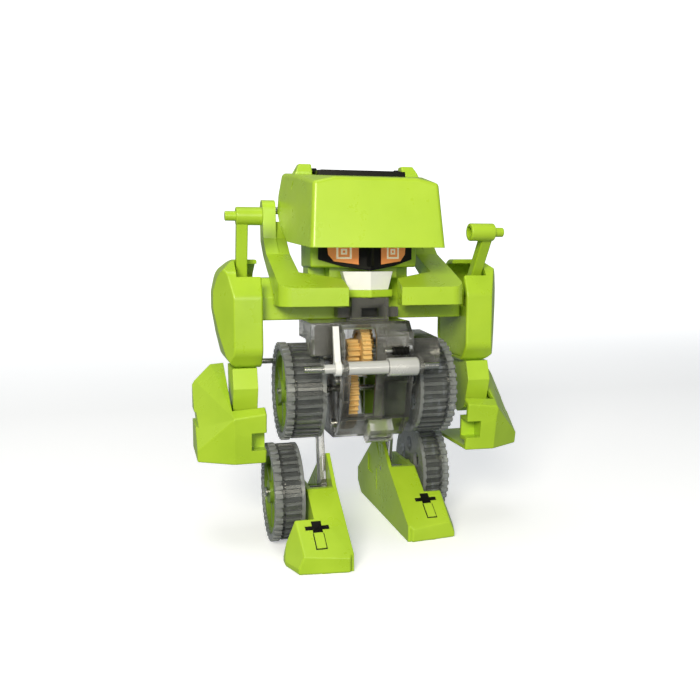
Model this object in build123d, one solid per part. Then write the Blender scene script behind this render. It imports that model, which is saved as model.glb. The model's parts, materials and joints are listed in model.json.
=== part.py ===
from build123d import *
import math
import os

# Walking solar robot kit, standing on its two feet, in millimetres.
# The robot faces -Y and its own left side is +X.  While it is laid out, the hip axle lies
# on the line Y = 0, and the soles stand on Z = 0.  "left" and "right" in the node names are
# the sides seen from the front: left is -X and right is +X.

# ---------------------------------------------------------------- driving dimensions
WHEEL_R = 16.8            # over the treads
HIP = (0.0, 51.8)         # (Y, Z) of the hip axle, which carries both upper wheels
LEG_TOP = (7.8, 70.5)     # (Y, Z) of the pivot that each leg swings on
LEG_LENGTH = 54.17        # leg pivot to ankle axle
LEG_SWING = 10.8          # degrees each side of upright
SHOULDER = (6.0, 81.0)    # (Y, Z) of the shoulder axis
LEVER_LENGTH = 30.7       # shoulder axis to peg
LEVER_TILT = {"left": 13.6, "right": 36.0}    # degrees forward of upright
ELBOW = (3.0, 45.5)       # (Y, Z) of the elbow pin
VISOR_PIVOT = (10.0, 115.0)
JAW_PIVOT = (21.5, 114.0)
PANEL_PIVOT = (8.5, 126.4)
WALL = 1.5                # green mouldings
CASE_WALL = 1.2
CASE_HALF = 12.3          # half width of the gearbox
PIN_R = 1.0               # 2 mm steel rod
FIT = 0.08                # radial room of a running fit
PRESSURE = math.radians(25)
BACKLASH = 0.14
SIDES = {"left": -1, "right": 1}


# ---------------------------------------------------------------- helpers
def prism_x(points, x0, x1):
    """Solid from a (Y, Z) outline, between two X planes."""
    return extrude(Plane.YZ.offset(x0) * make_face(Polyline(*points, close=True)), x1 - x0)


def prism_y(points, y0, y1):
    """Solid from an (X, Z) outline, between two Y planes."""
    return extrude(Plane.XZ.offset(-y0) * make_face(Polyline(*points, close=True)), y0 - y1)


def prism_z(points, z0, z1):
    """Solid from an (X, Y) outline, between two Z planes."""
    return extrude(Plane.XY.offset(z0) * make_face(Polyline(*points, close=True)), z1 - z0)


def rod(at, radius, x0, x1):
    """Round bar along X, centred on the (Y, Z) point at."""
    return extrude(Plane.YZ.offset(x0) * Pos(*at) * Circle(radius), x1 - x0)


def block(x, y, z):
    """Box from its low and high limits along each axis."""
    size = (x[1] - x[0], y[1] - y[0], z[1] - z[0])
    middle = (sum(x) / 2, sum(y) / 2, sum(z) / 2)
    return Pos(*middle) * Box(*size)


def cut_by(solid, corners, inside, inset=0.0):
    """Keep the side of the plane through three corners that holds the point inside."""
    a, b, c = (Vector(*corner) for corner in corners)
    normal = (b - a).cross(c - a).normalized()
    if (Vector(*inside) - a).dot(normal) < 0:
        normal = -normal
    plane = Plane(origin=a + normal * inset, z_dir=normal)
    return split(solid, bisect_by=plane, keep=Keep.TOP)


def soften(solid, radius):
    """Round every edge of a convex moulding."""
    return fillet(solid.edges(), radius)


def both(shape):
    """A piece and its mirror image."""
    return [shape, mirror(shape, about=Plane.YZ)]


def turned(solid, at, degrees):
    """Turn about the X direction through the (Y, Z) point at; forward for what is above it."""
    return solid.rotate(Axis((0, at[0], at[1]), (1, 0, 0)), degrees)


def on_side(side, shape):
    """Shapes are drawn at +X; the left one is the mirror image."""
    return shape if side == "right" else mirror(shape, about=Plane.YZ)


# ---------------------------------------------------------------- gears
def involute(angle):
    return math.tan(angle) - angle


def gear(teeth, module, bore, x0, x1, at, tooth_at, web=None):
    """Spur gear on the (Y, Z) point at, with a tooth centred on the direction tooth_at."""
    pitch = teeth * module / 2
    base = pitch * math.cos(PRESSURE)
    tip = pitch + 0.8 * module
    root = pitch - module
    start = max(base, root)
    half = (math.pi * module / 2 - BACKLASH) / (2 * pitch) + involute(PRESSURE)

    def flank(radius):
        return half - involute(math.acos(min(1.0, base / radius)))

    def polar(radius, angle):
        return (radius * math.cos(angle), radius * math.sin(angle))

    middle = (start + tip) / 2
    points = []
    for tooth in range(teeth):
        centre = tooth_at + 2 * math.pi * tooth / teeth
        for radius in (root, start, middle, tip):
            points.append(polar(radius, centre - flank(max(radius, start))))
        for radius in (tip, middle, start, root):
            points.append(polar(radius, centre + flank(max(radius, start))))
    distinct = [p for p, q in zip(points, points[-1:] + points[:-1]) if math.dist(p, q) > 1e-4]
    face = Pos(*at) * (make_face(Polyline(*distinct, close=True)) - Circle(bore))
    body = extrude(Plane.YZ.offset(x0) * face, x1 - x0)
    if web:
        ring = Circle(root - 1.2) - Circle(bore + 1.6)
        for side in (x0, x1 - web):
            body -= extrude(Plane.YZ.offset(side) * Pos(*at) * ring, web)
    return body


def direction(start, end):
    return math.atan2(end[1] - start[1], end[0] - start[0])


def step_from(start, distance, degrees):
    angle = math.radians(degrees)
    return (start[0] + distance * math.cos(angle), start[1] + distance * math.sin(angle))


# Tooth counts and modules of the train, from the motor to the hip axle.
MOTOR_TEETH = 10
WHEEL_TEETH = 32
FAST_TEETH = 10
SLOW_TEETH = 32
DRIVE_TEETH = 12
FINAL_TEETH = 44
FINE = 0.5
COARSE = 0.6
SLOW_SHAFT = step_from(HIP, (DRIVE_TEETH + FINAL_TEETH) * COARSE / 2, 122.4)
FAST_SHAFT = step_from(SLOW_SHAFT, (FAST_TEETH + SLOW_TEETH) * FINE / 2, 2.0)
MOTOR_SHAFT = step_from(FAST_SHAFT, (MOTOR_TEETH + WHEEL_TEETH) * FINE / 2, -25.0)
PLANE_FINAL = (-8.0, -4.4)
PLANE_SLOW = (-4.0, -1.0)
PLANE_FAST = (-0.4, 2.6)
SHAFT_R = 0.9
MOTOR_SHAFT_R = 0.75
MOTOR_R = 7.3
MOTOR_FLAT = 6.3          # half height over the motor's flats
MOTOR_X = (3.6, 10.9)
MOTOR_BORE_DEPTH = 3.0
CRADLE_X = (3.4, 11.1)


def opposite_gap(from_at, to_at, teeth):
    """Direction of a tooth that leaves a gap facing the other gear."""
    return direction(to_at, from_at) + math.pi / teeth


def gears():
    """Final gear, the two compound gears and the motor pinion."""
    toward_slow = direction(HIP, SLOW_SHAFT)
    toward_fast = direction(SLOW_SHAFT, FAST_SHAFT)
    toward_motor = direction(FAST_SHAFT, MOTOR_SHAFT)
    bore = SHAFT_R + FIT
    final = gear(FINAL_TEETH, COARSE, PIN_R, *PLANE_FINAL, HIP, toward_slow, 0.8)
    drive = gear(DRIVE_TEETH, COARSE, bore, PLANE_FINAL[0], PLANE_SLOW[0], SLOW_SHAFT,
                 opposite_gap(HIP, SLOW_SHAFT, DRIVE_TEETH))
    slow = gear(SLOW_TEETH, FINE, bore, *PLANE_SLOW, SLOW_SHAFT, toward_fast, 0.6)
    fast = gear(FAST_TEETH, FINE, bore, PLANE_SLOW[0], PLANE_FAST[0], FAST_SHAFT,
                opposite_gap(SLOW_SHAFT, FAST_SHAFT, FAST_TEETH))
    first = gear(WHEEL_TEETH, FINE, bore, *PLANE_FAST, FAST_SHAFT, toward_motor, 0.6)
    pinion = gear(MOTOR_TEETH, FINE, MOTOR_SHAFT_R, *PLANE_FAST, MOTOR_SHAFT,
                  opposite_gap(FAST_SHAFT, MOTOR_SHAFT, MOTOR_TEETH))
    pinion += rod(MOTOR_SHAFT, MOTOR_SHAFT_R, PLANE_FAST[0], MOTOR_X[0] + MOTOR_BORE_DEPTH)
    return {"final_gear": final, "slow_compound_gear": slow + drive,
            "fast_compound_gear": first + fast, "motor_pinion": pinion}


# ---------------------------------------------------------------- gearbox
CASE_OUTLINE = [(-19.5, 60), (-19.5, 72), (-15.5, 76.3), (15, 76.3), (20, 71), (20, 52),
                (13, 36.3), (-8, 36.3), (-15.5, 44)]
FRONT_SHAFT = (-22.8, 62.0)
REAR_SHAFT = (22.4, 59.4)
FRONT_LUG = {"left": (11.0, 12.3), "right": (13.0, 14.6)}    # X span
REAR_LUG = (9.4, 11.6)
RIB = 0.9
RIB_HEIGHT = 0.7
LUG_HALF = 2.6
LUG_NOSE = 2.2
SLEEVES = ((1.5, (-18.6, -12.5)), (2.2, (-10.8, 2.4)), (3.0, (2.6, 12.8)))    # radius and X span
LEVER_X = (-15.2, -13.2)
WHEEL_ROOM = WHEEL_R + 0.6
PIVOT_PIN_R = 1.5


def case_shoulder(side):
    """Bracket that stands out over an upper wheel, drawn on +X."""
    if side == "left":
        outline = [(-17.5, 65.5), (-17.5, 76.3), (3.4, 76.3), (3.4, 70.4), (-8, 70.4), (-12, 65.5)]
        reach = 21.6
    else:
        outline = [(-18.6, 61.5), (-18.6, 67), (-16.4, 70.6), (2, 71.8), (2, 70.2), (-9, 69.8),
                   (-13.6, 61.5)]
        reach = 22.0
    shoulder = prism_x(outline, CASE_HALF, reach)
    shoulder = fillet(shoulder.edges().filter_by(Axis.X), 0.5)
    groove_top = 64.6 if side == "right" else 75
    shoulder -= block((CASE_HALF + CASE_WALL, reach - CASE_WALL), (-16.2, -14.2), (60, groove_top))
    return shoulder - rod(HIP, WHEEL_ROOM, UPPER_WHEEL[0] - 0.6, reach + 1)


def case_half(side):
    """One moulded half of the gearbox, drawn on +X, open at the middle plane."""
    outer = prism_x(CASE_OUTLINE, 0, CASE_HALF)
    outline = make_face(Polyline(*CASE_OUTLINE, close=True))
    room = extrude(Plane.YZ * offset(outline, -CASE_WALL, kind=Kind.INTERSECTION), CASE_HALF - CASE_WALL)
    half = outer - room
    half += rod(LEG_TOP, 3.2, CASE_HALF, CASE_HALF + 1.3)
    half += rod(HIP, 2.4, CASE_HALF, CASE_HALF + 0.9)
    for at in (SLOW_SHAFT, FAST_SHAFT):
        half += rod(at, 2.0, CASE_HALF, CASE_HALF + 0.7)
        half -= rod(at, SHAFT_R, 0, CASE_HALF + 0.7)
    # shoulder over the wheel, hollow from below
    half += case_shoulder(side)
    # lugs that carry the front and rear shafts
    front_root = -19.5 if side == "left" else -18.0
    for (y, z), root, span in ((FRONT_SHAFT, front_root, FRONT_LUG[side]), (REAR_SHAFT, 20, REAR_LUG)):
        nose = y + math.copysign(LUG_NOSE, y)
        low = z - LUG_HALF
        high = z + LUG_HALF
        half += prism_x([(root, low), (root, high), (y, high), (nose, z), (y, low)], *span)
    half -= rod(HIP, PIN_R + FIT, 0, CASE_HALF + 0.9)
    half -= rod(LEG_TOP, PIVOT_PIN_R, 0, CASE_HALF + 1.3)
    half -= rod(FRONT_SHAFT, PIN_R, 0, UPPER_WHEEL[0])
    half -= rod(REAR_SHAFT, PIN_R, 0, CASE_HALF)
    # frame of ribs round the front
    half += front_ribs() & outer_skin()
    return half


def outer_skin():
    """Room in which ribs may stand on the outside of the case."""
    grown = offset(make_face(Polyline(*CASE_OUTLINE, close=True)), RIB_HEIGHT, kind=Kind.INTERSECTION)
    return extrude(Plane.YZ * grown, CASE_HALF) - prism_x(CASE_OUTLINE, -1, CASE_HALF + 1)


def front_ribs():
    """Upright and level ribs on the front of a case half, and a pad over its top."""
    ribs = block((10.9, CASE_HALF), (-24, -8), (37.5, 59)) + block((2.6, 3.6), (-24, -8), (43.4, 56.7))
    for z in (43.4, 49.6, 55.8):
        ribs += block((2.6, CASE_HALF), (-24, -8), (z, z + RIB))
    return ribs + block((3.0, CASE_HALF), (-24, -12), (65.6, 73))


def gearbox():
    """Both halves with the front window, motor, shafts, levers and screws."""
    window = block((-10.9, -0.2), (-26, -12.2), (45.5, 74.0))
    window -= block((-11, -8.8), (-26, -12.2), (45, 59.2))
    left = mirror(case_half("left"), about=Plane.YZ) - window
    parts = {"gearbox_case_left": left, "gearbox_case_right": case_half("right")}
    y, z = MOTOR_SHAFT
    cradle = [(-17.2, 58.2), (-13.7, 45.0), (-7.2, 38.1), (11.6, 38.1), (17.2, 50.4), (17.2, 53.2),
              (15.8, 53.2), (10.4, 39.7), (-6.6, 39.7), (-12.3, 46.0), (-15.8, 58.2)]
    seat = z - MOTOR_FLAT
    bed = prism_x(cradle, *CRADLE_X)
    bed += block(CRADLE_X, (y - 3, y - 1.4), (39, seat))
    bed += block(CRADLE_X, (y - 6, y + 6), (seat - 1.4, seat))
    parts["motor_cradle"] = bed
    flats = block(MOTOR_X, (y - MOTOR_R, y + MOTOR_R), (z - MOTOR_FLAT, z + MOTOR_FLAT))
    motor = rod(MOTOR_SHAFT, MOTOR_R, *MOTOR_X) & flats
    motor = fillet(motor.edges().group_by(Axis.X)[-1], 0.8)
    motor -= rod(MOTOR_SHAFT, MOTOR_SHAFT_R + FIT, MOTOR_X[0], MOTOR_X[0] + MOTOR_BORE_DEPTH)
    parts["motor_can"] = motor
    reach = CASE_HALF + 0.7
    parts["gear_shafts"] = Compound([rod(at, SHAFT_R, -reach, reach) for at in (SLOW_SHAFT, FAST_SHAFT)])
    parts["front_shaft"] = rod(FRONT_SHAFT, PIN_R, -25, 20)
    bore = rod(FRONT_SHAFT, PIN_R, -30, 30)
    sleeves = [rod(FRONT_SHAFT, radius, *span) - bore for radius, span in SLEEVES]
    sleeves[2] = chamfer(sleeves[2].edges().filter_by(GeomType.CIRCLE).sort_by(Axis.X)[-1], 0.5)
    parts["front_sleeves"] = Compound(sleeves)
    parts["rear_shaft"] = rod(REAR_SHAFT, PIN_R, -35.2, 35.2)
    y, z = FRONT_SHAFT
    lever = prism_x([(y - 1.0, z), (-20.6, 75.4), (-19.7, 75.4), (y + 1.2, z)], *LEVER_X)
    lever += rod(FRONT_SHAFT, 2.4, *LEVER_X)
    parts["clutch_lever"] = lever - rod(FRONT_SHAFT, SLEEVES[0][0] + FIT, *LEVER_X)
    lobes = prism_x([(-15.1, 43.2), (-8.1, 36), (-10.6, 34.4), (-14, 35.6), (-17.6, 40)], -1.6, 6.4)
    lobes -= block((-1.0, 5.8), (-19, -14.2), (36.6, 38.2))
    parts["lower_bearing_block"] = lobes
    heads = []
    for y, z in ((-14.8, 57), (15, 71), (14, 43), (-9, 41.5)):
        head = rod((y, z), 1.5, CASE_HALF, CASE_HALF + 0.9)
        slot = block((CASE_HALF + 0.4, CASE_HALF + 1), (y - 1.3, y + 1.3), (z - 0.2, z + 0.2))
        heads += both(head - slot)
    parts["case_screws"] = Compound(heads)
    pin = rod(LEG_TOP, PIVOT_PIN_R, 8, 16.0) + rod(LEG_TOP, 2.6, 16.0, 16.9)
    parts["leg_pivot_pins"] = Compound(both(pin))
    return parts


# ---------------------------------------------------------------- wheels
TREADS = 36


def treads(tip, root, share, x0, x1, at, inner):
    """Ring with square treads; share is the part of the pitch that a tread takes."""
    pitch = 2 * math.pi / TREADS
    points = []
    for tooth in range(TREADS):
        centre = tooth * pitch
        for radius, angle in ((root, -share), (tip, -share * 0.8), (tip, share * 0.8), (root, share)):
            turn = centre + angle * pitch / 2
            points.append((radius * math.cos(turn), radius * math.sin(turn)))
    face = Pos(*at) * (make_face(Polyline(*points, close=True)) - Circle(inner))
    return extrude(Plane.YZ.offset(x0) * face, x1 - x0)


def wheel(at, inner_face, outer_face, bore):
    """Smoke-coloured wheel and its green hub, drawn on +X."""
    band = outer_face - 2.5
    gap = band - 1.0
    flange = inner_face + 1.3
    tyre = treads(WHEEL_R, 15.9, 0.56, band, outer_face, at, 14.3)
    tyre += treads(16.0, 15.0, 0.34, gap, band, at, 14.3)
    tyre += treads(16.4, 15.8, 0.50, flange, gap, at, 14.3)
    tyre += rod(at, 16.5, inner_face, flange) - rod(at, bore, inner_face, flange)
    tyre += rod(at, 3.4, inner_face, outer_face - 3.4) - rod(at, bore, inner_face, outer_face)
    for turn in range(6):
        hole = step_from(at, 9.0, 30 + 60 * turn)
        tyre -= rod(hole, 2.9, inner_face - 1, flange + 1)
    low = outer_face - 3.2
    high = outer_face - 0.7
    hub = rod(at, 14.2, low, high) - rod(at, 12.3, low, high)
    for turn in range(6):
        spoke = block((low + 0.4, high - 0.5), (at[0] - 1.0, at[0] + 1.0), (at[1] + 2.0, at[1] + 12.8))
        hub += turned(spoke, at, 60 * turn)
    hub += rod(at, 4.0, low, high + 0.5)
    hub -= rod(at, bore, low - 1, high + 2)
    return tyre, hub


UPPER_WHEEL = (16.2, 29.3)
LOWER_WHEEL = (24.0, 33.9)
CRANK_R = 10.0


# ---------------------------------------------------------------- legs
def ankle(side):
    """(Y, Z) of the ankle axle with the leg at one end of its swing."""
    lean = -LEG_SWING if side == "left" else LEG_SWING
    angle = math.radians(lean)
    return (LEG_TOP[0] + LEG_LENGTH * math.sin(angle), LEG_TOP[1] - LEG_LENGTH * math.cos(angle))


LINK_X = (13.9, 15.9)
FOOT_INNER = 12.3
FOOT_STRIP = 22.4
FOOT_OUTER = 32.4
TOE_BACK = -20.8
TOE_FRONT = -34.0
TOE_CORNER = -25.0        # where the toe's outer side meets its slanting corner
RAMP_TOP = (-11.0, 20.4)
RAMP_LOW = (-34.0, 5.6)
SOCKET_X = (FOOT_INNER + FOOT_OUTER) / 2 - 0.4


def leg_link(side):
    """Flat leg from the gearbox pivot down into the foot."""
    top = LEG_TOP
    low = ankle(side)
    lean = math.degrees(math.atan2(low[0] - top[0], top[1] - low[1]))
    bar = block(LINK_X, (top[0] - 2.6, top[0] + 2.6), (top[1] - LEG_LENGTH, top[1]))
    bar -= block((LINK_X[0] - 1, LINK_X[0] + 0.6), (top[0] - 1.4, top[0] + 1.4),
                 (top[1] - LEG_LENGTH + 6, top[1] - 6))
    link = turned(bar, top, lean)
    link += rod(top, 3.9, *LINK_X) + rod(low, 3.9, *LINK_X)
    link -= rod(top, PIVOT_PIN_R + FIT, *LINK_X)
    link -= rod(low, PIN_R + FIT, *LINK_X)
    return link


def ramp_plane(y):
    """Three corners of the sloping top of the toe."""
    low = (y + RAMP_LOW[0], RAMP_LOW[1])
    return ((0, *low), (20, *low), (0, y + RAMP_TOP[0], RAMP_TOP[1]))


def foot_profile(y, lower=0.0):
    """Side outline of the foot about its ankle at y, drawn in by lower all round."""
    t = lower
    return [(y + TOE_FRONT + t, -5 if t else 0), (y + TOE_FRONT + t, RAMP_LOW[1] - 0.4 * t),
            (y + RAMP_TOP[0], RAMP_TOP[1] - 1.2 * t), (y - 0.8, 29.8 - 1.2 * t), (y + 8, 27.4 - 1.2 * t),
            (y + 32.5 - t, 9.5 - t), (y + 32.5 - t, 4 if not t else -5), (y + 27, -5 if t else 0)]


def foot(side):
    """Hollow foot: a strip beside the wheel and a toe in front of it, drawn on +X."""
    y = ankle(side)[0]
    strip = prism_x(foot_profile(y), FOOT_INNER, FOOT_STRIP)
    # the tall part is only the inner cheek; the rest drops away behind the ramp
    strip -= prism_x([(y + RAMP_TOP[0], 20.4), (y + RAMP_TOP[0], 35), (y + 34, 35), (y + 34, 8.4),
                      (y + 20, 13.6), (y + 12, 20.4)], FOOT_INNER + 1.3, FOOT_STRIP + 1)
    front = y + TOE_FRONT
    back = y + TOE_BACK
    toe_plan = [(FOOT_INNER, front + 1.0), (FOOT_INNER + 1.4, front - 1.2), (29.6, front + 0.6),
                (FOOT_OUTER, y + TOE_CORNER), (FOOT_OUTER, back), (FOOT_INNER, back)]
    toe = prism_z(toe_plan, 0, 16)
    ramp = ramp_plane(y)
    inside = (20, y, 0)
    toe = cut_by(toe, ramp, inside)
    side_draft = ((FOOT_OUTER, back, 2), (FOOT_OUTER, front, 2), (29.9, back, 13.9))
    toe = cut_by(toe, side_draft, inside)
    corner = ((FOOT_OUTER - 0.2, y + TOE_CORNER, 2), (29.6, front + 0.6, 2), (28.6, y - 24, 11.5))
    toe = cut_by(toe, corner, inside)
    toe = soften(toe, 0.7)
    t = WALL
    pocket_strip = prism_x(foot_profile(y, t), FOOT_INNER + 1.3, FOOT_STRIP - t)
    pocket_toe = prism_z([(FOOT_INNER + t, front + 2.6), (28.6, front + 2.6),
                          (FOOT_OUTER - 2.2, y + TOE_CORNER), (FOOT_OUTER - 2.2, back - t),
                          (FOOT_INNER + t, back - t)], -5, 16)
    pocket_toe = cut_by(pocket_toe, ramp, inside, t)
    pocket_toe = cut_by(pocket_toe, side_draft, inside, t)
    pocket_toe = cut_by(pocket_toe, corner, inside, t)
    strip = strip + toe
    strip -= pocket_strip
    strip -= pocket_toe
    # sole plate closes the pockets
    sole = [(FOOT_INNER + 0.4, y + 26.8), (FOOT_INNER + 0.4, front + 1.6), (29.2, front + 1.6),
            (31.6, y + TOE_CORNER), (31.6, back - 0.4), (FOOT_STRIP - 0.4, back - 0.4),
            (FOOT_STRIP - 0.4, y + 26.8)]
    strip += prism_z(sole, 0, 1.2)
    axle = ankle(side)
    strip += rod(axle, 2.6, FOOT_STRIP - 0.1, LOWER_WHEEL[0] - 0.2)
    strip -= rod(axle, PIN_R, FOOT_INNER - 1, 40)
    # notch beside the leg, groove and latch recess at the heel, and the socket in the toe
    notch = [(y + 4.2, 29), (y + 0.8, 21.0), (y + 8.6, 29)]
    strip -= prism_x(notch, FOOT_INNER - 1, FOOT_INNER + 1.35)
    strip -= block((FOOT_INNER - 1, FOOT_INNER + 0.5), (y + 4.1, y + 5.0), (7.6, 16.2))
    strip -= block((FOOT_INNER - 1, FOOT_INNER + 0.5), (y + 10, y + 17), (12.5, 19.5))
    strip -= toe_socket(y)
    return strip


def toe_socket(y):
    """Cross-shaped opening through the toe's upper wall."""
    x = SOCKET_X
    cross = block((x - 1.6, x + 1.6), (y - 26.4, y - 22.0), (5, 20))
    cross += block((x - 3.9, x + 3.9), (y - 25.2, y - 23.6), (5, 20))
    return cross


TONGUE_HEIGHT = 0.35


def toe_tongue(side):
    """Spring tongue that lies in front of the cross, standing a little proud of the toe."""
    y = ankle(side)[0]
    bar = block((SOCKET_X - 1.5, SOCKET_X + 1.5), (y - 31.4, y - 26.5), (0, 20))
    bar = cut_by(bar, ramp_plane(y), (20, y, 0), -TONGUE_HEIGHT)
    return cut_by(bar, ramp_plane(y), (20, y, 40))


def ankle_axle(side):
    axle = ankle(side)
    end = LOWER_WHEEL[1]
    return rod(axle, PIN_R, FOOT_INNER + 0.1, end + 0.5) + rod(axle, 1.7, end + 0.2, end + 0.9)


# ---------------------------------------------------------------- shoulders and arms
def shoulder_beam():
    """Hollow cross beam with a sloping top front, which also carries the head."""
    outline = [(-3, 76.3), (-3, 84.1), (4.2, 90.3), (15, 90.3), (15, 76.3)]
    beam = prism_x(outline, -35.2, 35.2)
    beam = fillet(beam.edges().filter_by(Axis.X), 0.6)
    room = prism_x([(-1.5, 75), (-1.5, 83.4), (4.9, 88.8), (13.5, 88.8), (13.5, 75)], 14, 33.6)
    beam = beam - room - mirror(room, about=Plane.YZ)
    stub = rod(SHOULDER, 2.5, 33.6, 38.6)
    return beam + stub + mirror(stub, about=Plane.YZ)


ARM_INNER = 35.7
ARM_OUTER = 51.0
PAD_SIDE = [(-8.6, 66), (-8.6, 84.5), (-5.2, 92.4), (1.6, 96.6), (10.4, 96.6), (17.2, 92.4),
            (20.6, 84.5), (20.6, 67), (14.0, 60.6), (-4.0, 60.6)]
PAD_FRONT = [(ARM_INNER, 60), (46.4, 60), (49.4, 71.5), (ARM_OUTER, 80), (ARM_OUTER, 86),
             (49.3, 92.2), (44.6, 96.6), (ARM_INNER, 98)]


PAD_ROUND = 4.5
PAD_SHOULDER_ROUND = 7.0


def pad_body(inset):
    """Shoulder shell, or the hollow inside it when inset is more than 0."""
    side = Plane.YZ.offset(ARM_INNER - (1 if inset else 0))
    front = Plane.XZ.offset(12)
    side_face = make_face(Polyline(*PAD_SIDE, close=True))
    side_face = fillet(side_face.vertices(), PAD_ROUND)
    front_face = make_face(Polyline(*PAD_FRONT, close=True))
    front_face = fillet(front_face.vertices().sort_by(Axis.X)[2:], PAD_SHOULDER_ROUND)
    if inset:
        side_face = offset(side_face, -inset, kind=Kind.INTERSECTION)
        front_face = offset(front_face, -inset, kind=Kind.INTERSECTION)
        front_face += Pos(ARM_INNER, 78.5) * Rectangle(8, 34)
    body = extrude(side * side_face, ARM_OUTER + 2 - ARM_INNER)
    body = body & extrude(front * front_face, -36)
    inside = (ARM_INNER, 6, 80)
    for y, back in ((-8.6, 2.0), (20.6, 10.0)):
        facet = ((45.2, y, 60), (45.2, y, 90), (ARM_OUTER, back, 80))
        body = cut_by(body, facet, inside, inset)
    return body


def upper_arm():
    """Shoulder shell, open toward the body, with its bearing boss; drawn on +X."""
    shell = soften(pad_body(0), 0.7) - pad_body(WALL)
    shell += rod(SHOULDER, 4.2, 44.6, 50.0) - rod(SHOULDER, 1.5, 40, 49.0)
    # notch in the top for the lever, open toward the head
    y, z = SHOULDER
    slot = block((35, 43.9), (y - 2.6, y + 2.6), (z + 11, z + 20))
    for degrees in range(12, 41, 7):
        shell -= turned(slot, SHOULDER, degrees)
    return shell


def arm_plate():
    """Inner plate of the shoulder, which turns on the beam's stub; drawn on +X."""
    plate = prism_x([(-6.9, 67), (-6.9, 80), (-1, 80), (-1, 86), (3, 89), (11, 89), (18.9, 82),
                     (18.9, 68), (13.2, 62.3), (-3.2, 62.3)], 36.0, 37.6)
    plate += rod(SHOULDER, 4.4, 36.0, 38.4)
    for y, z in ((-3.5, 70), (14, 70), (14, 80)):
        plate += rod((y, z), 1.6, 37.6, 41)
    return plate - rod(SHOULDER, 2.5 + FIT, 35, 39)


def peg_lever(side):
    """Lever with a cross tube and peg at its top, tilted forward; drawn on +X."""
    peg = (SHOULDER[0], SHOULDER[1] + LEVER_LENGTH)
    post = block((39.4, 43.2), (SHOULDER[0] - 1.8, SHOULDER[0] + 1.8), (SHOULDER[1], peg[1]))
    lever = fillet(post.edges().filter_by(Axis.Z), 0.5)
    lever += rod(SHOULDER, 3.2, 39.4, 43.2)
    tube = rod(peg, 3.0, 34.6, 43.4)
    lever += fillet(tube.edges().filter_by(GeomType.CIRCLE), 0.4)
    end = rod(peg, 1.6, 43.4, 47.0)
    lever += fillet(end.edges().sort_by(Axis.X)[-1], 0.4)
    lever -= rod(peg, 1.9, 34, 40.2)
    lever -= rod(SHOULDER, 1.5 + FIT, 39, 44)
    return turned(lever, SHOULDER, LEVER_TILT[side])


def lever_pin():
    """Pin on which the lever rocks, fixed in the shell's boss."""
    return rod(SHOULDER, 1.5, 39.0, 49.0)


LINK_SPAN = (37.4, 45.6)
ELBOW_PIN_R = 1.8


def elbow_link():
    """Block below the shoulder shell that carries the elbow pin; drawn on +X."""
    outline = [(-4.6, 60.6), (-6.9, 54), (-3.3, 43.6), (3, 41), (8.2, 44), (10.4, 60.6)]
    link = prism_x(outline, *LINK_SPAN)
    link = fillet(link.edges().filter_by(Axis.X).group_by(Axis.Z)[0], 1.5)
    return link - rod(ELBOW, ELBOW_PIN_R, *LINK_SPAN)


def elbow_pin():
    return rod(ELBOW, ELBOW_PIN_R, LINK_SPAN[0], 50.2)


TOP_BACK = (50.8, 16.5, 58.6)
OUT_BACK = (56.8, 18.5, 53.8)
OUT_TIP = (56.4, -5.2, 34.6)
RIDGE_OUT = (46.1, -13.0, 45.3)
RIDGE_IN = (35.4, -12.4, 46.4)
LOW_OUT = (46.0, -12.4, 40.4)
LOW_IN = (35.4, -12.0, 40.8)
FOOT_OUT = (46.0, -10.5, 30.2)
FOREARM_FACETS = [(TOP_BACK, RIDGE_OUT, RIDGE_IN), (TOP_BACK, OUT_BACK, RIDGE_OUT),
                  (OUT_BACK, RIDGE_OUT, OUT_TIP), (RIDGE_OUT, RIDGE_IN, LOW_OUT),
                  (LOW_OUT, LOW_IN, FOOT_OUT), (LOW_OUT, OUT_TIP, FOOT_OUT)]


def forearm_body(inset):
    x_low = 35.4 if not inset else 30
    y_high = 19 if not inset else 30
    body = block((x_low, 57.6 - inset), (-20, y_high), (29.4 + inset, 66))
    for facet in FOREARM_FACETS:
        body = cut_by(body, facet, (45, 5, 42), inset)
    return body


def forearm():
    """Faceted hollow forearm, open at the back and toward the body; drawn on +X."""
    shell = soften(forearm_body(0), 0.6) - forearm_body(WALL)
    # closed pocket in the front, open toward the body
    shell += block((35.4, 41.6), (-16, -4.8), (32.8, 41.2)) & forearm_body(0.3)
    shell -= block((34, 40.4), (-18, -6.0), (34.0, 40.0))
    # room for the elbow link
    shell -= block((34, 46.4), (-8.8, 22), (46, 70))
    # a step in the outer edge, and the elbow boss
    shell -= prism_y([(56.6, 40), (60, 40), (60, 44.2), (57.0, 44.2)], -20, 20)
    boss = rod(ELBOW, 3.4, 46.6, 54) & forearm_body(0.4)
    return shell + boss - rod(ELBOW, ELBOW_PIN_R + FIT, 30, 50.6)


# ---------------------------------------------------------------- head
HEAD_HALF = 18.7
FACE_SIDE_Y = -3.2
NOSE_Y = -10.7


def face_band(front, back, width):
    """V-shaped plan between two offsets in front of the head's front."""
    slope = (FACE_SIDE_Y - NOSE_Y) / HEAD_HALF
    edge = NOSE_Y + slope * width
    return [(-width, edge - front), (0, NOSE_Y - front), (width, edge - front),
            (width, edge + back), (0, NOSE_Y + back), (-width, edge + back)]


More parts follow.
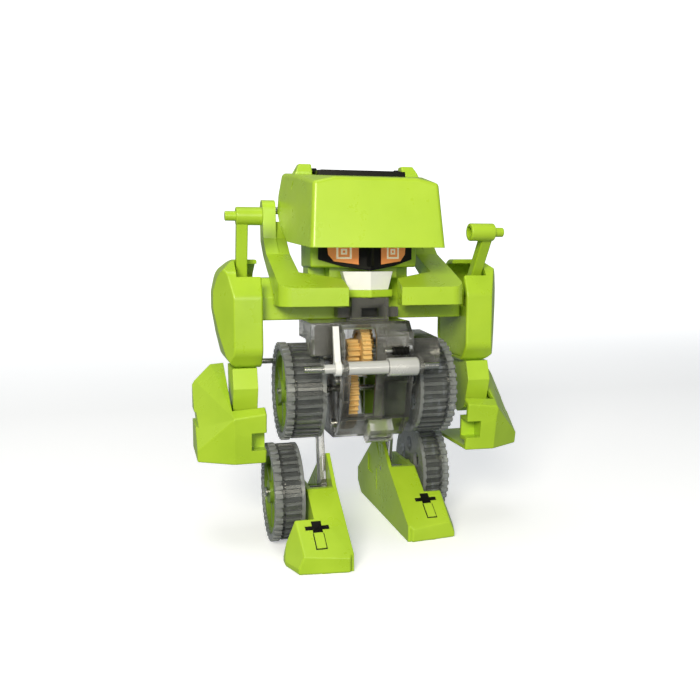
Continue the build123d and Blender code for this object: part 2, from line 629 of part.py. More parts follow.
def head():
    """Head box with its base, mask, eyes, mouth guard and chin."""
    plan = [(-HEAD_HALF, FACE_SIDE_Y), (0, NOSE_Y), (HEAD_HALF, FACE_SIDE_Y), (HEAD_HALF, 14),
            (-HEAD_HALF, 14)]
    box = soften(prism_z(plan, 93.9, 117.5), 0.8)
    box -= block((-HEAD_HALF + WALL, HEAD_HALF - WALL), (0, 14 - WALL), (96, 116))
    box += block((-12, 12), (-2, 13.5), (90.3, 94.4)) + block((-18, 18), (4.6, 13.5), (90.3, 94.4))
    bracket = prism_x([(13, 108), (13, 117), (19, 118), (24, 117), (24, 111), (18, 108)], -17.5, 17.5)
    box += bracket - block((-14, 14), (14.5, 30), (100, 130))
    box += rod(VISOR_PIVOT, 2.0, HEAD_HALF - 1, 22.6) + rod(VISOR_PIVOT, 2.0, -22.6, 1 - HEAD_HALF)
    box -= rod(JAW_PIVOT, 1.3, -18, 18)
    parts = {"head_box": box}
    mask_outline = [(-16.4, 108), (-16.4, 96.6), (-9, 94.3), (0, 92.9), (9, 94.3), (16.4, 96.6),
                    (16.4, 108)]
    mask = prism_z(face_band(0.9, 0, 17.5), 92, 109) & prism_y(mask_outline, -20, 5)
    nose = prism_z([(-1.7, -10.7), (0, -12.3), (1.7, -10.7), (0, -11.2)], 94.4, 107)
    parts["face_mask"] = mask + nose
    eye_outline = [(3.9, 102.6), (3.9, 94.9), (11.6, 96.0), (13.4, 98.2), (13.8, 102.6)]
    eye = prism_z(face_band(1.4, -0.9, 16), 92, 106) & prism_y(eye_outline, -20, 5)
    parts["eye_lenses"] = Compound(both(eye))
    guard_outline = [(-9.0, 93.4), (-7.0, 86.5), (7.0, 86.5), (9.0, 93.4)]
    guard_plan = [(-9, -7.6), (0, -11.4), (9, -7.6), (9, -4.0), (-9, -4.0)]
    guard = prism_z(guard_plan, 86.5, 92.6) & prism_y(guard_outline, -20, 5)
    parts["mouth_guard"] = guard
    chin_plan = [(-8.6, -8.2), (0, -12.4), (8.6, -8.2), (8.6, -3.0), (-8.6, -3.0)]
    chin = prism_z(chin_plan, 83.9, 86.5)
    parts["chin_plate"] = fillet(chin.edges().group_by(Axis.Z)[0], 0.5)
    neck = block((-6.4, 6.4), (-11, -3.0), (76.3, 83.9)) - block((-3, 3), (-13, -6), (77.6, 80.4))
    parts["neck_block"] = neck + block((-10.6, 10.6), (-8.4, -3.0), (77.2, 80.6))
    parts["jaw_shaft"] = rod(JAW_PIVOT, 1.3, -31.4, 31.4)
    return parts


VISOR_FRONT = ((-22.3, -22.1, 100.4), (22.3, -22.1, 100.4), (20.9, -19.0, 121.2))
VISOR_SIDE = ((22.3, -22.1, 100.4), (20.9, -19.0, 121.2), (26.3, 15.0, 108.0))
VISOR_ROOF = ((-15.0, -18.9, 122.8), (15.0, -18.9, 122.8), (15.0, 4.0, 125.4))
VISOR_BEVEL = ((20.9, -19.0, 121.1), (13.5, -18.8, 122.8), (23.4, 8.0, 126.2))


EAR_OUTER = 22.4
PANEL_PIN_R = 0.9
VISOR_REACH = 30          # beyond the visor's half width


def flip(corners):
    return tuple((-x, y, z) for x, y, z in corners)


def visor_body(inset):
    body = block((-30, 30), (-26, 20 if not inset else 30), (99 if not inset else 90, 130))
    facets = [VISOR_FRONT, VISOR_SIDE, flip(VISOR_SIDE), VISOR_ROOF, VISOR_BEVEL, flip(VISOR_BEVEL)]
    for facet in facets:
        body = cut_by(body, facet, (0, 0, 110), inset)
    return body


def visor():
    """Faceted visor shell with its ears, hinge bushes and the opening for the solar panel."""
    outer = soften(visor_body(0), 1.5)
    shell = outer - visor_body(WALL)
    side_outline = [(-30, 100.4), (-21, 100.4), (4, 102.6), (14, 108.4), (18.4, 113.5), (18.6, 119),
                    (15.5, 127), (12, 140), (-30, 140)]
    shell = shell & prism_x(side_outline, -30, 30)
    shell -= block((-15.9, 15.9), (-0.9, 30), (118, 130))
    ear = prism_x([(4.9, 121.6), (4.9, 126.6), (6.9, 129.2), (10.2, 129.2), (12.2, 126.6),
                   (12.2, 121.6)], 16.2, EAR_OUTER)
    ear = cut_by(ear, ((20.6, 8, 129.2), (20.6, 0, 129.2), (EAR_OUTER, 8, 125.4)), (17, 8, 124))
    ear = soften(ear, 0.5)
    shell += ear + mirror(ear, about=Plane.YZ)
    shell -= rod(PANEL_PIVOT, PANEL_PIN_R + FIT, -VISOR_REACH, VISOR_REACH)
    slit = turned(block((20, 30), (1.4, 4.2), (121.4, 122.1)), (2.8, 121.7), -55)
    shell -= slit
    shell -= mirror(slit, about=Plane.YZ)
    # bushes inside the side walls, round the head's stubs
    bush = rod(VISOR_PIVOT, 3.6, 19.4, 27) & visor_body(0.4)
    bush -= rod(VISOR_PIVOT, 2.0 + FIT, 18, 23)
    return shell + bush + mirror(bush, about=Plane.YZ)


def solar_panel():
    """Frame on the ears, and the dark cell let into it."""
    frame = block((-15.6, 15.6), (-0.5, 30.5), (124.6, 126.6))
    frame = fillet(frame.edges().filter_by(Axis.Z), 0.8)
    frame += rod(PANEL_PIVOT, 1.6, -15.6, 15.6)
    frame -= block((-14.2, 14.2), (0.9, 29.1), (125.6, 129))
    cell = block((-14.1, 14.1), (1.0, 29.0), (125.6, 126.9))
    frame += rod(PANEL_PIVOT, PANEL_PIN_R, 15.4, 19.8) + rod(PANEL_PIVOT, PANEL_PIN_R, -19.8, -15.4)
    return {"solar_frame": frame, "solar_cell": cell}


# ---------------------------------------------------------------- jaw horns
HORN_X = (26.9, 31.6)
HORN_INNER = 23.2
HORN_TIP = (-17.6, 87.6)
HORN_RISE = (-4.0, 93.0)      # top line of the front bar, from the tip to where the arm takes over
HORN_FLOOR = 81.6
HORN_CORNER = 4.5
BAR_BACK = -12.5


def horn():
    """Curved jaw arm: hangs from the jaw shaft and sweeps forward to beside the mouth."""
    y, z = JAW_PIVOT
    slope = (HORN_RISE[1] - HORN_TIP[1]) / (HORN_RISE[0] - HORN_TIP[0])
    join = (BAR_BACK, HORN_TIP[1] + slope * (BAR_BACK - HORN_TIP[0]))
    under = [(BAR_BACK, HORN_FLOOR), (-9.5, HORN_FLOOR), (0.4, 88.4), (9.6, 93.0), (y - 3.8, 97.6)]
    outer = [(y - 3.6, z + 1), (y - 4.4, 104), (10.4, 98.4), HORN_RISE, join, *under,
             (y + 2.6, 103), (y + 3.6, z)]
    arm = prism_x(outer, *HORN_X) + rod(JAW_PIVOT, 3.7, *HORN_X)
    inner = [(19.8, 110), (18.0, 104), (10.4, 98.4), HORN_RISE, join, *under,
             (y + 2.4, 103), (y + 2.6, 110)]
    arm += prism_x(inner, HORN_INNER, HORN_X[0])
    plan = make_face(Polyline((9.0, HORN_TIP[0]), (HORN_X[1], HORN_TIP[0]), (HORN_X[1], HORN_RISE[0]),
                              (HORN_INNER, -5.4), (9.6, -10.6), close=True))
    plan = fillet(plan.vertices().group_by(Axis.Y)[0].sort_by(Axis.X)[-1], HORN_CORNER)
    bar = extrude(Plane.XY.offset(HORN_FLOOR) * plan, 12)
    top = ((0, *HORN_TIP), (10, *HORN_TIP), (0, *HORN_RISE))
    bar = cut_by(bar, top, (20, -12, 80))
    return arm + bar - rod(JAW_PIVOT, 1.3 + FIT, 20, 40)


# ---------------------------------------------------------------- put together
def build():
    nodes = gears()
    nodes.update(gearbox())
    nodes.update(head())
    nodes["shoulder_beam"] = shoulder_beam()
    nodes["visor_shell"] = visor()
    nodes.update(solar_panel())
    nodes["hip_axle"] = rod(HIP, PIN_R, -29.9, 29.9)
    tyre, hub = wheel(HIP, *UPPER_WHEEL, PIN_R)
    for side, sign in SIDES.items():
        crank = rod((HIP[0] + sign * CRANK_R, HIP[1]), 1.4, UPPER_WHEEL[0] - 0.12, UPPER_WHEEL[0] + 2.2)
        nodes["upper_wheel_" + side] = on_side(side, tyre + crank)
        nodes["upper_hub_" + side] = on_side(side, hub)
        rim, disc = wheel(ankle(side), *LOWER_WHEEL, PIN_R + FIT)
        nodes["lower_wheel_" + side] = on_side(side, rim)
        nodes["lower_hub_" + side] = on_side(side, disc)
        nodes["leg_link_" + side] = on_side(side, leg_link(side))
        nodes["foot_" + side] = on_side(side, foot(side))
        nodes["toe_tongue_" + side] = on_side(side, toe_tongue(side))
        nodes["ankle_axle_" + side] = on_side(side, ankle_axle(side))
        nodes["upper_arm_" + side] = on_side(side, upper_arm())
        nodes["arm_plate_" + side] = on_side(side, arm_plate())
        nodes["peg_lever_" + side] = on_side(side, peg_lever(side))
        nodes["lever_pin_" + side] = on_side(side, lever_pin())
        nodes["elbow_link_" + side] = on_side(side, elbow_link())
        nodes["elbow_pin_" + side] = on_side(side, elbow_pin())
        nodes["forearm_" + side] = on_side(side, forearm())
        nodes["horn_" + side] = on_side(side, horn())
    return nodes


def frame_shift(nodes):
    """Y move that brings the middle of the whole box over the origin."""
    boxes = [shape.bounding_box() for shape in nodes.values()]
    return -(min(box.min.Y for box in boxes) + max(box.max.Y for box in boxes)) / 2


if __name__ == "__main__":
    os.makedirs("parts", exist_ok=True)
    all_nodes = build()
    shift = frame_shift(all_nodes)
    print("shift in Y", round(shift, 4))
    for name, shape in all_nodes.items():
        export_step(Pos(0, shift, 0) * shape, "parts/" + name + ".step")
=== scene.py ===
import json
import math

import bmesh
import bpy
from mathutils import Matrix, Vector


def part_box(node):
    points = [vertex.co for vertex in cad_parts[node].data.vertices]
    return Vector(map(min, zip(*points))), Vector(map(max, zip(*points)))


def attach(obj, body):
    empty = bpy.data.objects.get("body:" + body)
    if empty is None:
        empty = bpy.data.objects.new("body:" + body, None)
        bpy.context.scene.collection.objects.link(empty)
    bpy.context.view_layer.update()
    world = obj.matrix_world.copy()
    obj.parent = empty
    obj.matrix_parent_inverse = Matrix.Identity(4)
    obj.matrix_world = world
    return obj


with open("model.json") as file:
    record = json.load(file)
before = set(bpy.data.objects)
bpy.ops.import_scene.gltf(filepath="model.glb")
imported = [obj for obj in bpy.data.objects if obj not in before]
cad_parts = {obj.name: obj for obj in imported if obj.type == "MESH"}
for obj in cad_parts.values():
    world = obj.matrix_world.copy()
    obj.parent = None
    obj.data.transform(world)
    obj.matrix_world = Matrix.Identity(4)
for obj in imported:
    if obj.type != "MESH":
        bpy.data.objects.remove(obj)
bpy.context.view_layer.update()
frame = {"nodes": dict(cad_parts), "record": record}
NODES = frame["nodes"]
MM = 0.001
SIDES = {"left": -1, "right": 1}

# ---------------------------------------------------------------- colours, linear
LIME = (0.39, 0.60, 0.030)
LIME_PALE = (0.43, 0.64, 0.036)
LIME_DEEP = (0.35, 0.55, 0.024)
ORANGE = (0.84, 0.54, 0.20)

# ---------------------------------------------------------------- shared dimensions
EDGE_RADIUS = 0.35 * MM
CLEAR_EDGE_RADIUS = 0.2 * MM
TOE_SLOPE = (20.4 - 5.6) / (34.0 - 11.0)    # rise of the toe's top face per length
TONGUE_PROUD = 0.42 * MM                    # drop from the tongue's top to the toe's face


# ---------------------------------------------------------------- node materials
class Nodes:
    """Small helper round one material's node tree."""

    def __init__(self, name):
        self.material = bpy.data.materials.new(name)
        self.material.use_nodes = True
        self.tree = self.material.node_tree
        self.tree.nodes.clear()
        self.place = self.add("ShaderNodeTexCoord").outputs["Object"]

    def add(self, kind, **settings):
        node = self.tree.nodes.new(kind)
        for key, value in settings.items():
            setattr(node, key, value)
        return node

    def join(self, output, socket):
        self.tree.links.new(output, socket)

    def noise(self, scale, detail=3.0, roughness=0.5, stretch=None):
        node = self.add("ShaderNodeTexNoise")
        node.inputs["Scale"].default_value = scale
        node.inputs["Detail"].default_value = detail
        node.inputs["Roughness"].default_value = roughness
        place = self.place
        if stretch:
            mapping = self.add("ShaderNodeMapping")
            mapping.inputs["Scale"].default_value = stretch
            self.join(place, mapping.inputs["Vector"])
            place = mapping.outputs["Vector"]
        self.join(place, node.inputs["Vector"])
        return node.outputs["Fac"]

    def ramp(self, value, *stops):
        """Colour ramp; each stop is (position, grey or colour)."""
        node = self.add("ShaderNodeValToRGB")
        elements = node.color_ramp.elements
        while len(elements) < len(stops):
            elements.new(0.5)
        for element, (position, colour) in zip(elements, stops):
            element.position = position
            if not isinstance(colour, tuple):
                colour = (colour, colour, colour)
            element.color = (*colour, 1.0)
        self.join(value, node.inputs["Fac"])
        return node.outputs["Color"]

    def mix(self, factor, first, second):
        node = self.add("ShaderNodeMix", data_type="RGBA")
        inputs = node.inputs
        for socket, value in ((inputs[0], factor), (inputs[6], first), (inputs[7], second)):
            if isinstance(value, bpy.types.NodeSocket):
                self.join(value, socket)
            elif isinstance(value, tuple):
                socket.default_value = (*value, 1.0)
            else:
                socket.default_value = value
        return node.outputs[2]

    def bump(self, height, strength, distance, edge=EDGE_RADIUS):
        """Fine relief over edges that the mould has rounded a little."""
        node = self.add("ShaderNodeBump")
        node.inputs["Strength"].default_value = strength
        node.inputs["Distance"].default_value = distance
        self.join(height, node.inputs["Height"])
        if edge:
            bevel = self.add("ShaderNodeBevel", samples=4)
            bevel.inputs["Radius"].default_value = edge
            self.join(bevel.outputs["Normal"], node.inputs["Normal"])
        return node.outputs["Normal"]

    def shader(self, colour, roughness, normal=None, **constants):
        """Principled shader; constants are set on its own sockets."""
        node = self.add("ShaderNodeBsdfPrincipled")
        for name, value in (("Base Color", colour), ("Roughness", roughness), ("Normal", normal)):
            if value is None:
                continue
            if isinstance(value, bpy.types.NodeSocket):
                self.join(value, node.inputs[name])
            else:
                node.inputs[name].default_value = value if not isinstance(value, tuple) else (*value, 1.0)
        for name, value in constants.items():
            node.inputs[name.replace("_", " ")].default_value = value
        out = self.add("ShaderNodeOutputMaterial")
        self.join(node.outputs["BSDF"], out.inputs["Surface"])
        return self.material


def moulded(name, pale, base, deep, gloss=0.24, **constants):
    """Glossy injection-moulded plastic: faint flow marks, edges painted lighter as a painted highlight, and
    a fine orange-peel skin.
    """
    n = Nodes(name)
    cloud = n.noise(55.0, 4.0)
    colour = n.ramp(cloud, (0.30, deep), (0.50, base), (0.72, pale))
    # painted highlight: sharp edges mixed towards a brighter copy of the pale colour
    edges = n.ramp(n.add("ShaderNodeNewGeometry").outputs["Pointiness"], (0.56, 0.0), (0.68, 0.30))
    colour = n.mix(edges, colour, tuple(min(1.0, c * 1.15 + 0.03) for c in pale))
    fine = n.noise(900.0, 2.0)
    smudge = n.noise(120.0, 5.0, 0.6)
    roughness = n.ramp(smudge, (0.30, gloss - 0.06), (0.75, gloss + 0.12))
    normal = n.bump(fine, 0.06, 0.0002)
    return n.shader(colour, roughness, normal, **constants)


def smoky(name, light, dark, edge, gloss, transmission):
    """Smoke-tinted clear plastic: slight swirls and scuffs, and corners that catch the light."""
    n = Nodes(name)
    cloud = n.noise(90.0, 4.0, 0.6)
    colour = n.ramp(cloud, (0.30, dark), (0.75, light))
    # painted highlight: sharp corners mixed towards the bright edge colour
    corners = n.ramp(n.add("ShaderNodeNewGeometry").outputs["Pointiness"], (0.51, 0.0), (0.58, 0.8))
    colour = n.mix(corners, colour, edge)
    scuff = n.noise(350.0, 5.0, 0.7)
    roughness = n.ramp(scuff, (0.35, gloss), (0.70, gloss + 0.14))
    normal = n.bump(n.noise(700.0, 2.0), 0.08, 0.0002, CLEAR_EDGE_RADIUS)
    return n.shader(colour, roughness, normal, Transmission_Weight=transmission, IOR=1.49)


def steel(name, tint=(0.62, 0.62, 0.61), rough=0.2):
    """Drawn steel bar, with fine scratches round it."""
    n = Nodes(name)
    lines = n.noise(260.0, 6.0, 0.7, stretch=(30.0, 1.0, 1.0))
    colour = n.ramp(lines, (0.3, tuple(c * 0.8 for c in tint)), (0.7, tint))
    roughness = n.ramp(n.noise(160.0, 4.0), (0.3, rough), (0.7, rough + 0.14))
    normal = n.bump(lines, 0.10, 0.0001)
    return n.shader(colour, roughness, normal, Metallic=1.0)


def cell_material():
    """Dark solar cell with fine silver fingers under a clear coat."""
    n = Nodes("solar_cell_glass")
    lines = n.add("ShaderNodeTexWave", bands_direction="X")
    lines.inputs["Scale"].default_value = 190.0
    n.join(n.place, lines.inputs["Vector"])
    fingers = n.ramp(lines.outputs["Fac"], (0.90, 0.0), (0.96, 0.5))
    flakes = n.noise(220.0, 5.0, 0.7)
    deep = n.ramp(flakes, (0.35, (0.004, 0.005, 0.012)), (0.7, (0.012, 0.016, 0.035)))
    colour = n.mix(fingers, deep, (0.16, 0.17, 0.18))
    roughness = n.ramp(flakes, (0.3, 0.10), (0.7, 0.2))
    return n.shader(colour, roughness, n.bump(flakes, 0.03, 0.0001), Coat_Weight=0.6, Coat_Roughness=0.05)


GREEN = moulded("lime_plastic", LIME_PALE, LIME, LIME_DEEP, 0.30, Coat_Weight=0.15, Coat_Roughness=0.16)
# painted shade: a darker copy of the lime, given to the green_dark slot and the wheel hubs
LIME_PAINTED_SHADE = moulded("lime_plastic_painted_shade", (0.18, 0.30, 0.03),
                     (0.15, 0.26, 0.025), (0.11, 0.20, 0.02), 0.3)
SMOKE_CLEAR = smoky("smoke_plastic", (0.34, 0.345, 0.335),
                    (0.05, 0.051, 0.049), (0.80, 0.80, 0.79), 0.04, 0.88)
SMOKE_DARK = smoky("smoke_tread_plastic", (0.22, 0.235, 0.25),
                   (0.10, 0.108, 0.115), (0.50, 0.53, 0.56), 0.08, 0.6)
ORANGE_GLOSS = moulded("orange_plastic", (0.92, 0.64, 0.28),
                       ORANGE, (0.74, 0.40, 0.12), Transmission_Weight=0.2)
WHITE_GLOSS = moulded("white_plastic", (0.84, 0.86, 0.93), (0.80, 0.82, 0.90), (0.75, 0.77, 0.85))
BLACK_GLOSS = moulded("black_plastic", (0.008, 0.008, 0.008),
                      (0.005, 0.005, 0.005), (0.003, 0.003, 0.003), 0.28,
                      Specular_IOR_Level=0.15)
STEEL = steel("steel_bar")
SILVER = moulded("silver_plastic", (0.74, 0.75, 0.79),
                 (0.66, 0.67, 0.71), (0.58, 0.59, 0.63), 0.22, Metallic=0.35)
# the emission is painted light: the lenses glow though they are no lamp
LENS_PAINTED_GLOW = moulded("orange_lens_painted_glow", (0.92, 0.34, 0.10), (0.86, 0.27, 0.07), (0.78, 0.20, 0.04), 0.2,
               Emission_Color=(1.0, 0.34, 0.10, 1.0), Emission_Strength=0.15)
# the emission is painted light: it brightens the eye rings out of their shade, though they are no lamp
CREAM_PAINTED_GLOW = moulded("cream_inlay_painted_glow", (0.97, 0.90, 0.76), (0.95, 0.85, 0.68), (0.90, 0.76, 0.56), 0.3,
                Emission_Color=(1.0, 0.82, 0.58, 1.0), Emission_Strength=0.25)
CAN = steel("plated_can", (0.5, 0.5, 0.5), 0.28)
CELL = cell_material()

BY_SLOT = {
    "green_gloss": GREEN, "green_dark": LIME_PAINTED_SHADE, "smoke_clear": SMOKE_CLEAR, "tread_smoke": SMOKE_DARK,
    "orange": ORANGE_GLOSS, "white_gloss": WHITE_GLOSS, "black_gloss": BLACK_GLOSS, "steel": STEEL,
    "silver_sleeve": SILVER, "motor_steel": CAN, "solar_cell": CELL,
}
for part in frame["record"]["subparts"]:
    material = BY_SLOT[part["material_slot"]]
    slots = NODES[part["node"]].data.materials
    if not slots:
        slots.append(material)
    for index in range(len(slots)):
        slots[index] = material
NODES["eye_lenses"].data.materials[0] = LENS_PAINTED_GLOW
for name in NODES:
    if "hub" in name:    # the hubs are painted a darker green than the body, as painted shade
        NODES[name].data.materials[0] = LIME_PAINTED_SHADE


# ---------------------------------------------------------------- added pieces
def solid_piece(name, mesh, material, body, bevel=0.0):
    """Object from a bmesh, with softened edges, riding on a body."""
    bmesh.ops.recalc_face_normals(mesh, faces=mesh.faces)
    data = bpy.data.meshes.new(name)
    mesh.to_mesh(data)
    mesh.free()
    piece = bpy.data.objects.new(name, data)
    bpy.context.scene.collection.objects.link(piece)
    data.materials.append(material)
    if bevel:
        edges = piece.modifiers.new("soft_edges", "BEVEL")
        edges.width = bevel
        edges.segments = 2
        edges.limit_method = "ANGLE"
    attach(piece, body)
    return piece


def ring_prism(mesh, outline, width, place, low, high):
    """Closed band of the given width inside an outline; place maps (u, v, height) to a point."""
    middle = sum((Vector(p) for p in outline), Vector((0.0, 0.0))) / len(outline)
    loops = []
    for shrink in (0.0, width):
        for height in (low, high):
            loop = []
            for point in outline:
                offset = Vector(point) - middle
                inner = Vector([value - math.copysign(shrink, value) for value in offset])
                loop.append(mesh.verts.new(place(*(middle + inner), height)))
            loops.append(loop)
    outer_low, outer_high, inner_low, inner_high = loops
    count = len(outline)
    for first, second in ((outer_low, outer_high), (outer_high, inner_high), (inner_high, inner_low),
                          (inner_low, outer_low)):
        for i in range(count):
            j = (i + 1) % count
            mesh.faces.new((first[i], first[j], second[j], second[i]))


def eye_rings():
    """Pale nested frames moulded on the front of each lens."""
    low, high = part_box("eye_lenses")
    inner_edge = 3.9 * MM
    lens_depth = 0.5 * MM
    slope = (high[1] - low[1] - lens_depth) / (high[0] - inner_edge)
    front = low[1] - slope * inner_edge
    for side, sign in SIDES.items():
        mesh = bmesh.new()

        def place(u, v, height):
            return (sign * u, front + slope * u - height, v)

        left = inner_edge + 2.2 * MM
        right = high[0] - 2.9 * MM
        base = low[2] + 1.9 * MM
        top = base + right - left
        outline = [(left, base), (right, base), (right, top), (left, top)]
        ring_prism(mesh, outline, 0.62 * MM, place, -0.2 * MM, 0.15 * MM)
        inset = 1.45 * MM
        outline = [(left + inset, base + inset), (right - inset, base + inset),
                   (right - inset, top - inset), (left + inset, top - inset)]
        ring_prism(mesh, outline, 0.55 * MM, place, -0.2 * MM, 0.15 * MM)
        solid_piece("eye_rings_" + side, mesh, CREAM_PAINTED_GLOW, "chassis", 0.06 * MM)


def box_into(mesh, low, high):
    corners = [mesh.verts.new((x, y, z)) for x in (low[0], high[0]) for y in (low[1], high[1])
               for z in (low[2], high[2])]
    for face in ((0, 1, 3, 2), (4, 6, 7, 5), (0, 4, 5, 1), (2, 3, 7, 6), (0, 2, 6, 4), (1, 5, 7, 3)):
        mesh.faces.new([corners[i] for i in face])


def cell_bars():
    """Silver collector bars, one along the middle of each strip of the solar cell."""
    low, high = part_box("solar_cell")
    mesh = bmesh.new()
    strips = 4
    pitch = (high[0] - low[0]) / strips
    margin = 0.8 * MM
    for strip in range(strips):
        x = low[0] + (strip + 0.5) * pitch
        box_into(mesh, (x - 0.35 * MM, low[1] + margin, high[2] - 0.1 * MM),
                 (x + 0.35 * MM, high[1] - margin, high[2] + 0.05 * MM))
    solid_piece("cell_bars", mesh, STEEL, "solar_panel", 0.02 * MM)


def toe_height(tongue_top, y):
    """Height of the toe's sloping face at y, found from the tongue's highest corner."""
    return tongue_top[2] - TONGUE_PROUD + TOE_SLOPE * (y - tongue_top[1])


def cross_socket_shades():
    """Dark plate just below the mouth of each toe's cross-shaped socket, sloping with the toe: painted
    shade inside the socket.
    """
    recess = 0.28 * MM
    depth = 0.5 * MM
    gap = 0.12 * MM
    stem, arm = 1.58 * MM, 3.88 * MM
    arm_start, arm_end, stem_end = 1.2 * MM, 2.76 * MM, 4.36 * MM
    for side in SIDES:
        low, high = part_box("toe_tongue_" + side)
        middle = (low[0] + high[0]) / 2
        near = high[1] + gap
        half = [(stem, 0.0), (stem, arm_start), (arm, arm_start), (arm, arm_end), (stem, arm_end),
                (stem, stem_end)]
        outline = [(x, near + y) for x, y in half] + [(-x, near + y) for x, y in reversed(half)]
        mesh = bmesh.new()
        layers = []
        for drop in (recess, recess + depth):
            layers.append([mesh.verts.new((middle + x, y, toe_height(high, y) - drop)) for x, y in outline])
        top, bottom = layers
        mesh.faces.new(top)
        mesh.faces.new(bottom)
        for i in range(len(outline)):
            j = (i + 1) % len(outline)
            mesh.faces.new((top[i], top[j], bottom[j], bottom[i]))
        # the dark plate is painted shade standing for the depth of the socket
        solid_piece("socket_painted_shade_" + side, mesh, BLACK_GLOSS, "foot_assembly_" + side)


def tongue_shade_strips():
    """Dark strip round three sides of each toe tongue: painted shade standing for the gap there."""
    width = 0.32 * MM
    lifts = (0.05 * MM, -0.3 * MM)
    for side in SIDES:
        low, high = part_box("toe_tongue_" + side)
        mesh = bmesh.new()
        rings = []
        for reach in (width, 0.0):
            left, right, front = low[0] - reach, high[0] + reach, low[1] - reach
            outline = [(left, high[1]), (left, front), (right, front), (right, high[1])]
            for lift in lifts:
                rings.append([mesh.verts.new((x, y, toe_height(high, y) + lift)) for x, y in outline])
        outer_top, outer_low, inner_top, inner_low = rings
        for first, second in ((outer_top, inner_top), (inner_top, inner_low), (inner_low, outer_low),
                              (outer_low, outer_top)):
            for i in range(3):
                mesh.faces.new((first[i], first[i + 1], second[i + 1], second[i]))
        for i in (0, 3):
            mesh.faces.new((outer_top[i], inner_top[i], inner_low[i], outer_low[i]))
        solid_piece("tongue_painted_gap_shade_" + side, mesh, BLACK_GLOSS, "foot_assembly_" + side)


def lathe_x(mesh, centre, profile, segments=40):
    """Solid turned round a line along X; the profile lists (x, radius)."""
    rings = []
    for x, radius in profile:
        ring = []
        for step in range(segments):
            angle = 2 * math.pi * step / segments
            y = centre[0] + radius * math.cos(angle)
            z = centre[1] + radius * math.sin(angle)
            ring.append(mesh.verts.new((x, y, z)))
        rings.append(ring)
    for first, second in zip(rings, rings[1:]):
        for i in range(segments):
            j = (i + 1) % segments
            mesh.faces.new((first[i], first[j], second[j], second[i]))
    mesh.faces.new(rings[0])
    mesh.faces.new(rings[-1])


def selector_pin():
    """Short black grooved roller with steel stubs, lying against the front of the right gearbox half."""
    low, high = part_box("front_shaft")
    axis = (low[1] + 2.1 * MM, high[2] + 4.1 * MM)
    hub, groove, rim = 0.9 * MM, 1.15 * MM, 1.45 * MM
    chamfer = 1.35 * MM
    profile = [(4.4 * MM, hub), (4.5 * MM, chamfer)]
    for step in range(4):
        x = (4.9 + 1.25 * step) * MM
        profile += [(x, rim), (x + 0.75 * MM, rim), (x + 0.85 * MM, groove), (x + 1.1 * MM, groove)]
    profile += [(9.9 * MM, chamfer), (10.0 * MM, hub)]
    mesh = bmesh.new()
    lathe_x(mesh, axis, profile)
    solid_piece("selector_roller", mesh, BLACK_GLOSS, "chassis")

    rod, tip, tip_length = 0.6 * MM, 0.35 * MM, 0.25 * MM
    left, right = 2.0 * MM, 10.6 * MM
    mesh = bmesh.new()
    lathe_x(mesh, axis, [(left, tip), (left + tip_length, rod), (4.35 * MM, rod)])
    lathe_x(mesh, axis, [(10.05 * MM, rod), (right - tip_length, rod), (right, tip)])
    solid_piece("selector_pin", mesh, STEEL, "chassis")


eye_rings()
cell_bars()
cross_socket_shades()
tongue_shade_strips()
selector_pin()


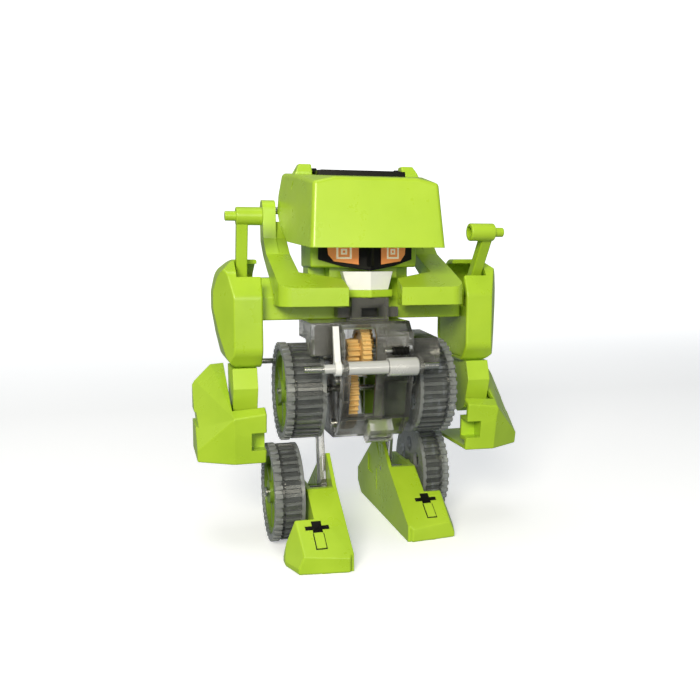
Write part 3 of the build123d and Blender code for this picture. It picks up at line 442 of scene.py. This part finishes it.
# ---------------------------------------------------------------- stage
def stage():
    """Seamless pale sweep: floor, curve and wall."""
    near, far, bend, top = -1.6, 1.6, 0.6, 2.4
    rows = [(near, 0.0), (far - bend, 0.0)]
    for step in range(1, 13):
        angle = math.radians(90 * step / 12)
        rows.append((far - bend + bend * math.sin(angle), bend - bend * math.cos(angle)))
    rows.append((far, top))
    mesh = bmesh.new()
    columns = []
    for y, z in rows:
        columns.append([mesh.verts.new((x, y, z)) for x in (-3.0, 3.0)])
    for first, second in zip(columns, columns[1:]):
        mesh.faces.new((first[0], first[1], second[1], second[0]))
    data = bpy.data.meshes.new("sweep")
    mesh.to_mesh(data)
    mesh.free()
    for face in data.polygons:
        face.use_smooth = True
    sweep = bpy.data.objects.new("sweep", data)
    bpy.context.scene.collection.objects.link(sweep)
    n = Nodes("paper_sweep")
    shade = n.ramp(n.noise(3.0), (0.3, (0.84, 0.86, 0.97)), (0.7, (0.87, 0.89, 1.0)))
    place = n.add("ShaderNodeSeparateXYZ")
    n.join(n.place, place.inputs["Vector"])
    glow = n.ramp(place.outputs["Y"], (0.25, 0.38), (0.9, 0.90))
    material = n.shader(shade, 0.75, Emission_Color=(1.0, 1.0, 1.0, 1.0))
    shader = next(node for node in n.tree.nodes if node.type == "BSDF_PRINCIPLED")
    n.join(glow, shader.inputs["Emission Strength"])
    data.materials.append(material)
    sweep.visible_diffuse = False
    sweep.visible_glossy = False


def area_light(name, at, towards, size, power, colour=(1, 1, 1)):
    data = bpy.data.lights.new(name, "AREA")
    data.shape = "RECTANGLE"
    data.size, data.size_y = size
    data.energy = power
    data.color = colour
    light = bpy.data.objects.new(name, data)
    light.location = at
    light.rotation_euler = (Vector(towards) - Vector(at)).to_track_quat("-Z", "Y").to_euler()
    bpy.context.scene.collection.objects.link(light)


def camera():
    data = bpy.data.cameras.new("camera")
    data.lens = 41.45
    data.sensor_width = 36.0
    data.clip_start = 0.01
    data.dof.use_dof = False
    eye = bpy.data.objects.new("camera", data)
    eye.location = (-0.0742, -0.2768, 0.0978)
    eye.rotation_euler = (math.radians(90 - 6.66), 0.0, math.radians(-14.52))
    bpy.context.scene.collection.objects.link(eye)
    bpy.context.scene.camera = eye


def studio_world():
    """Even pale surroundings, with colours shown as they are."""
    world = bpy.data.worlds.new("studio")
    world.use_nodes = True
    background = world.node_tree.nodes["Background"]
    background.inputs["Color"].default_value = (0.94, 1.0, 0.97, 1.0)
    background.inputs["Strength"].default_value = 0.26
    bpy.context.scene.world = world
    bpy.context.scene.view_settings.view_transform = "Standard"


stage()
camera()
studio_world()
AIM = (0.0, 0.0, 0.065)
area_light("key", (-0.40, -0.80, 0.44), AIM, (0.34, 0.30), 8.4, (1.0, 0.93, 0.72))
area_light("front", (0.03, -0.86, 0.22), AIM, (0.34, 0.30), 1.3, (1.0, 0.96, 0.80))
area_light("top", (-0.15, -0.05, 0.9), AIM, (0.5, 0.4), 1.6, (1.0, 0.97, 0.86))
